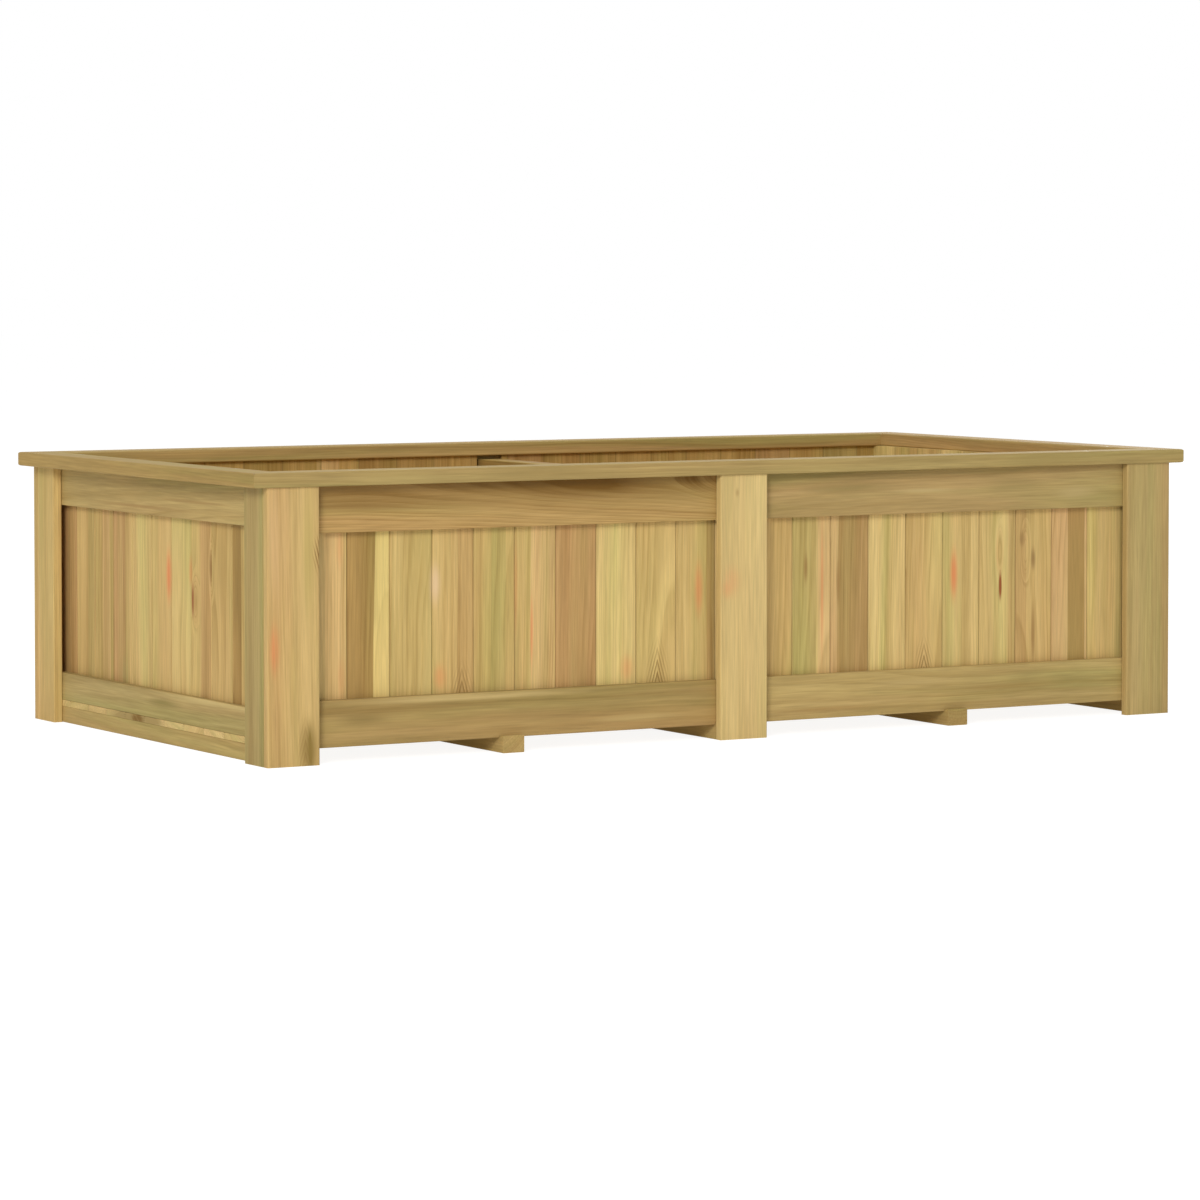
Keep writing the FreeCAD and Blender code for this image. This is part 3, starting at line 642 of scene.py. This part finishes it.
# Cover boards: planed pine, 14 mm thick, upright over the rails' ends. A face board and a side board lap at
# each corner, and a centre post hides where the rails meet. They stand on the ground and carry the rim.
# Each is a cleaner, straighter-grained piece than the rails, with a knot or a resin streak here and there.
COVER_Y = 390
COVER_BOARDS = (
    ("corner_face_board_front_left", dict(tone="C4A76E", pith=(-90, 80), rings=0.2, streaks=0.5, marks=[
        ("D4AE7C", 0.5, (-738, -COVER_Y, 300), (26, DEPTH, 140)),
        (ORANGE, 0.95, (-740, -COVER_Y, 157), (12, DEPTH, 54)),
        ("B49E5C", 0.6, (-688, -COVER_Y, 290), (15, DEPTH, 150)),
        ("8A7238", 0.8, (-688, -COVER_Y, 22), (24, DEPTH, 60))],
        arches=[((-673, -COVER_Y, 284), (14, DEPTH, 40), -3.8, 1.2),
                ((-694, -COVER_Y, 20), (17, DEPTH, 66), 3.8, 0.5)])),
    ("corner_side_board_front_left", dict(tone="A4905C", pith=(70, 80), green=0.65, streaks=0.45, rings=0.2)),
    ("centre_post_front", dict(tone="CAB178", pith=(80, 75), rings=0.15, streaks=0.35, pink=0.1, marks=[
        ("D79866", 0.5, (-22, -COVER_Y, 225), (24, DEPTH, 34)),
        (ORANGE, 0.3, (-30, -COVER_Y, 212), (14, DEPTH, 20)),
        (LINE, 0.4, (-12, -COVER_Y, 350), (5, DEPTH, 10))])),
    ("corner_face_board_front_right",
     dict(tone="B39A66", pith=(-70, 85), green=0.5, streaks=0.45, rings=0.2, blotches=0.08)),
    ("corner_side_board_front_right", dict(tone="B59C64")),
    ("corner_face_board_back_left", dict(tone="BEA169", rings=0.45)),
    ("corner_side_board_back_left", dict(tone="CCAF73", pith=(-20, 70), rings=0.4)),
    ("centre_post_back", dict(tone="B99D64", pith=(5, 60), rings=0.5)),
    ("corner_face_board_back_right", dict(tone="B0985F", green=0.9)),
    ("corner_side_board_back_right", dict(tone="BCA067", rings=0.45)),
)
for log, (board, looks) in enumerate(COVER_BOARDS, 41):
    sawn = "ZYX" if "side_board" in board else "ZXY"
    dress(board, treated_pine("planed_pine_" + board, sawn, middle_of(board), log, wander=10, **looks))


# Post screws: countersunk wood screws, 22 mm long, driven outwards through the rails into the cover boards.
# They are steel with a yellowish zinc plating; the heads have a six-pointed recess for the driver's bit.
SCREW_THREAD_RADIUS, SCREW_CORE_RADIUS, SCREW_HEAD_RADIUS = 2 * MM, 1.4 * MM, 4 * MM
POST_SCREW_LENGTH, POST_THREAD_LENGTH = 22 * MM, 12 * MM
LONG_SCREW_HEIGHTS, END_SCREW_HEIGHTS = (53 * MM, 343 * MM), (53 * MM, 347 * MM)
CORNER_SCREW_X, CENTRE_SCREW_X, END_SCREW_Y = 704 * MM, 19.5 * MM, 341 * MM


def screw_tree():
    """A countersunk wood screw, driven along its own Z from the top of its head."""
    tree, given = new_tree("countersunk_screw", ("Length", "Core Radius", "Thread Radius", "Head Radius",
                                                 "Recess Radius", "Recess Depth", "Thread Length",
                                                 "Thread Pitch"))
    sides = 12
    core_radius, head_radius = given["Core Radius"], given["Head Radius"]
    recess_radius = given["Recess Radius"]
    thread_radius, thread_length = given["Thread Radius"], given["Thread Length"]
    neck = add(tree, "ShaderNodeMath", {0: head_radius, 1: core_radius}, operation="SUBTRACT").outputs[0]
    point = add(tree, "ShaderNodeMath", {0: core_radius, 1: 2}, operation="MULTIPLY").outputs[0]
    point_start = add(tree, "ShaderNodeMath", {0: given["Length"], 1: point}, operation="SUBTRACT").outputs[0]
    shank_length = add(tree, "ShaderNodeMath", {0: point_start, 1: neck}, operation="SUBTRACT").outputs[0]
    inner = add(tree, "ShaderNodeMath", {0: recess_radius, 1: 0.7}, operation="MULTIPLY").outputs[0]
    star = add(tree, "GeometryNodeCurveStar", {"Points": 6, "Inner Radius": inner,
                                               "Outer Radius": recess_radius}).outputs[0]
    outline = add(tree, "GeometryNodeCurvePrimitiveCircle", {"Resolution": sides, "Radius": head_radius})
    both = add(tree, "GeometryNodeJoinGeometry")
    tree.links.new(outline.outputs[0], both.inputs[0])
    tree.links.new(star, both.inputs[0])
    face = add(tree, "GeometryNodeFillCurve", {0: both.outputs[0]}).outputs[0]
    recess_floor = add(tree, "GeometryNodeFillCurve", {0: star}).outputs[0]
    deep = add(tree, "ShaderNodeCombineXYZ", {2: given["Recess Depth"]}).outputs[0]
    recess = add(tree, "GeometryNodeExtrudeMesh", {"Mesh": recess_floor, "Offset": deep,
                                                   "Individual": False}).outputs[0]
    body = joined(tree, [
        face, recess,
        cone(tree, sides, 0, head_radius, core_radius, neck),
        cone(tree, sides, neck, core_radius, core_radius, shank_length),
        cone(tree, sides, point_start, core_radius, 0, point),
    ])
    height = add(tree, "ShaderNodeMath", {0: thread_radius, 1: core_radius}, operation="SUBTRACT").outputs[0]
    reach = add(tree, "ShaderNodeMath", {0: thread_radius, 1: height}, operation="SUBTRACT").outputs[0]
    turns = add(tree, "ShaderNodeMath", {0: thread_length, 1: given["Thread Pitch"]},
                operation="DIVIDE").outputs[0]
    helix = add(tree, "GeometryNodeCurveSpiral", {"Resolution": 12, "Rotations": turns, "Start Radius": reach,
                                                  "End Radius": reach, "Height": thread_length}).outputs[0]
    ridge = add(tree, "GeometryNodeCurvePrimitiveCircle", {"Resolution": 3, "Radius": height}).outputs[0]
    thread = add(tree, "GeometryNodeCurveToMesh",
                 {"Curve": helix, "Profile Curve": ridge, "Fill Caps": True}).outputs[0]
    thread_start = add(tree, "ShaderNodeMath", {0: point_start, 1: thread_length},
                       operation="SUBTRACT").outputs[0]
    lift = add(tree, "ShaderNodeCombineXYZ", {2: thread_start}).outputs[0]
    lifted = add(tree, "GeometryNodeTransform", {"Geometry": thread, "Translation": lift}).outputs[0]
    whole = add(tree, "GeometryNodeJoinGeometry")
    tree.links.new(body, whole.inputs[0])
    tree.links.new(lifted, whole.inputs[0])
    place_shapes(tree, given, whole.outputs[0])
    return tree


SCREW = screw_tree()
plated_steel = steel("zinc_plated_steel_screw", "A0946F", 0.45, 2.5)
screw_sizes = {"Core Radius": SCREW_CORE_RADIUS, "Thread Radius": SCREW_THREAD_RADIUS,
               "Head Radius": SCREW_HEAD_RADIUS, "Thread Pitch": 2.2 * MM,
               "Recess Radius": 1.9 * MM, "Recess Depth": 1.8 * MM}
post_screw_places = []
for side in (-1, 1):
    for end in (-1, 1):
        for height in LONG_SCREW_HEIGHTS:
            for along in (CORNER_SCREW_X, CENTRE_SCREW_X):
                head = Vector((end * along, side * BOARD_Y * MM, height))
                post_screw_places.append((head, Vector((0, side, 0))))
        for height in END_SCREW_HEIGHTS:
            head = Vector((end * BOARD_X * MM, side * END_SCREW_Y, height))
            post_screw_places.append((head, Vector((end, 0, 0))))
drive("post_screws", "screw_steel", SCREW, plated_steel, post_screw_places, 4, Length=POST_SCREW_LENGTH,
      **{"Thread Length": POST_THREAD_LENGTH}, **screw_sizes)


# Cross brace: a batten like the bearers, laid from wall to wall just under the rim to keep the long walls
# straight. It is let into a notch in each wall's boards and screwed through both meeting rails' ends.
BRACE_SCREW_LENGTH, BRACE_THREAD_LENGTH = 40 * MM, 24 * MM
BRACE_SCREW_X, BRACE_SCREW_HEIGHT = 8.5 * MM, 357 * MM
dress("cross_brace", treated_pine("planed_pine_cross_brace", "YXZ", middle_of("cross_brace"), 61,
                                  tone="9C7F48", rings=0.4, marks=[(KNOT, 0.7, (10, -120, 369), (6, 8, 9))]))
brace_screw_places = []
for side in (-1, 1):
    for end in (-1, 1):
        head = Vector((end * BRACE_SCREW_X, side * RAIL_Y * MM, BRACE_SCREW_HEIGHT))
        brace_screw_places.append((head, Vector((0, -side, 0))))
drive("brace_screws", "screw_steel", SCREW, plated_steel, brace_screw_places, 5, Length=BRACE_SCREW_LENGTH,
      **{"Thread Length": BRACE_THREAD_LENGTH}, **screw_sizes)


# Rim: four flat planed pine boards, 50 by 20 mm, mitred at the corners, laid on the walls as a capping.
# The upper edges are eased. Salts and weather have turned them browner than the rest.
RIM_TOP = 395
# near the front edge, in millimetres
EDGE_Y, EDGE_Z = -392, 386
# painted shade: the rim's top faces are darkened so that they look no lighter than the faces below them
TOP_PAINTED_SHADE = ("97804C", 0.7, (0, 0, RIM_TOP + 2), (2500, 2500, 7))
RIM_BOARDS = (
    ("rim_front", "XYZ", dict(tone="A5905B", pith=(60, 90), wander=14, marks=[
        ("B09A60", 0.4, (-560, EDGE_Y, EDGE_Z), (120, 40, 30)),
        ("96804C", 0.5, (-330, EDGE_Y, EDGE_Z), (160, 40, 30)),
        ("B09A60", 0.4, (120, EDGE_Y, EDGE_Z), (150, 40, 30)),
        ("96804C", 0.4, (520, EDGE_Y, EDGE_Z), (140, 40, 30))])),
    ("rim_back", "XYZ", dict(tone="AE935E", pith=(-60, 85))),
    ("rim_left", "YXZ", dict(tone="A58A52", pith=(50, 95), wander=14, marks=[
        ("94793F", 0.5, (-750, 120, RIM_TOP), (24, 110, 10))])),
    ("rim_right", "YXZ", dict(tone="AC915C", pith=(-50, 80))),
)
for log, (board, sawn, looks) in enumerate(RIM_BOARDS, 71):
    # each rim board gets the painted shade on its top face
    marks = [TOP_PAINTED_SHADE] + looks.pop("marks", [])
    dress(board, treated_pine("planed_pine_" + board, sawn, middle_of(board), log, marks=marks, rings=0.3,
                              blotches=0.09, green=0.8, **looks))


# Rim screws: twelve of the same countersunk screws, 45 mm long, down through the rim into the upper rails.
# Their heads are driven flush with the top.
RIM_SCREW_LENGTH, RIM_THREAD_LENGTH = 45 * MM, 26 * MM
LONG_RAIL_MIDDLE_Y, END_RAIL_MIDDLE_X = 370 * MM, 730 * MM
OUTER_SCREW_X, INNER_SCREW_X, END_RIM_SCREW_Y = 612 * MM, 99 * MM, 258 * MM
rim_screw_places = []
for side in (-1, 1):
    for end in (-1, 1):
        for along in (OUTER_SCREW_X, INNER_SCREW_X):
            rim_screw_places.append((Vector((end * along, side * LONG_RAIL_MIDDLE_Y, RIM_TOP * MM)), DOWN))
        head = Vector((end * END_RAIL_MIDDLE_X, side * END_RIM_SCREW_Y, RIM_TOP * MM))
        rim_screw_places.append((head, DOWN))
drive("rim_screws", "screw_steel", SCREW, plated_steel, rim_screw_places, 6, Length=RIM_SCREW_LENGTH,
      **{"Thread Length": RIM_THREAD_LENGTH}, **screw_sizes)


# Studio: a white floor, white surroundings, a softbox at the front left, a weak one overhead and a third at
# the back right. To the camera the floor is nearly white by itself and keeps a faint shadow; bounced light
# meets a plain pale floor.
FLOOR_SIZE = 60
PLANTER_MIDDLE = (0, 0, 0.2)
floor_paint = bpy.data.materials.new("white_studio_floor")
floor_paint.use_nodes = True
tree = floor_paint.node_tree
tree.nodes.clear()
pale_floor = add(tree, "ShaderNodeBsdfDiffuse", {"Color": colour("E8E8E8")})
bounce = add(tree, "ShaderNodeEmission", {"Color": (1, 1, 1, 1), "Strength": 0.2})
lit_floor = add(tree, "ShaderNodeAddShader", {0: pale_floor.outputs[0], 1: bounce.outputs[0]})
shadow_floor = add(tree, "ShaderNodeBsdfDiffuse", {"Color": colour("8C8C8C")})
glow = add(tree, "ShaderNodeEmission", {"Color": (1, 1, 1, 1), "Strength": 0.89})
seen_floor = add(tree, "ShaderNodeAddShader", {0: shadow_floor.outputs[0], 1: glow.outputs[0]})
camera_ray = add(tree, "ShaderNodeLightPath").outputs["Is Camera Ray"]
mixed = add(tree, "ShaderNodeMixShader", {0: camera_ray, 1: lit_floor.outputs[0], 2: seen_floor.outputs[0]})
add(tree, "ShaderNodeOutputMaterial", {"Surface": mixed.outputs[0]})
bpy.ops.mesh.primitive_plane_add(size=FLOOR_SIZE)
floor = bpy.context.object
floor.name = "studio_floor"
floor.data.materials.append(floor_paint)

world = bpy.data.worlds.new("studio")
bpy.context.scene.world = world
world.use_nodes = True
tree = world.node_tree
tree.nodes.clear()
rays = add(tree, "ShaderNodeLightPath").outputs
seen = add(tree, "ShaderNodeMath", {0: rays["Is Camera Ray"], 1: rays["Is Glossy Ray"]},
           operation="MAXIMUM").outputs[0]
seen = add(tree, "ShaderNodeMath", {0: seen, 1: rays["Is Transmission Ray"]}, operation="MAXIMUM").outputs[0]
strength = add(tree, "ShaderNodeMapRange", {"Value": seen, 3: 0.42, 4: 1}).outputs[0]
surroundings = add(tree, "ShaderNodeBackground", {"Color": (1, 1, 1, 1), "Strength": strength})
add(tree, "ShaderNodeOutputWorld", {"Surface": surroundings.outputs[0]})


def soft_lamp(name, place, aim, size, watts):
    """A square softbox that hangs at a place and faces a point."""
    lamp = bpy.data.lights.new(name, "AREA")
    lamp.shape = "SQUARE"
    lamp.size = size
    lamp.energy = watts
    holder = bpy.data.objects.new(name, lamp)
    bpy.context.scene.collection.objects.link(holder)
    holder.location = place
    holder.rotation_euler = (Vector(aim) - Vector(place)).to_track_quat("-Z", "Y").to_euler()


soft_lamp("key_softbox", (-6.0, -6.0, 3.7), PLANTER_MIDDLE, 2.5, 420)
soft_lamp("top_softbox", (0, 0, 4.5), PLANTER_MIDDLE, 3.0, 80)
soft_lamp("fill_softbox", (6.5, 5.5, 2.6), PLANTER_MIDDLE, 3.0, 170)


# Camera: a long lens from the front left, a little above the rim.
# The view is shifted down to frame the planter, so the lens needs little tilt.
camera_data = bpy.data.cameras.new("camera")
camera_data.lens = 139.3
camera_data.sensor_width = 36
camera_data.shift_y = -0.1186
camera_data.clip_end = 100
camera = bpy.data.objects.new("camera", camera_data)
bpy.context.scene.collection.objects.link(camera)
camera.location = (-3.4842, -5.9468, 0.6852)
camera.rotation_euler = (math.radians(90 - 2.5), 0, math.radians(-30.304))
bpy.context.scene.camera = camera
bpy.context.scene.view_settings.view_transform = "Standard"
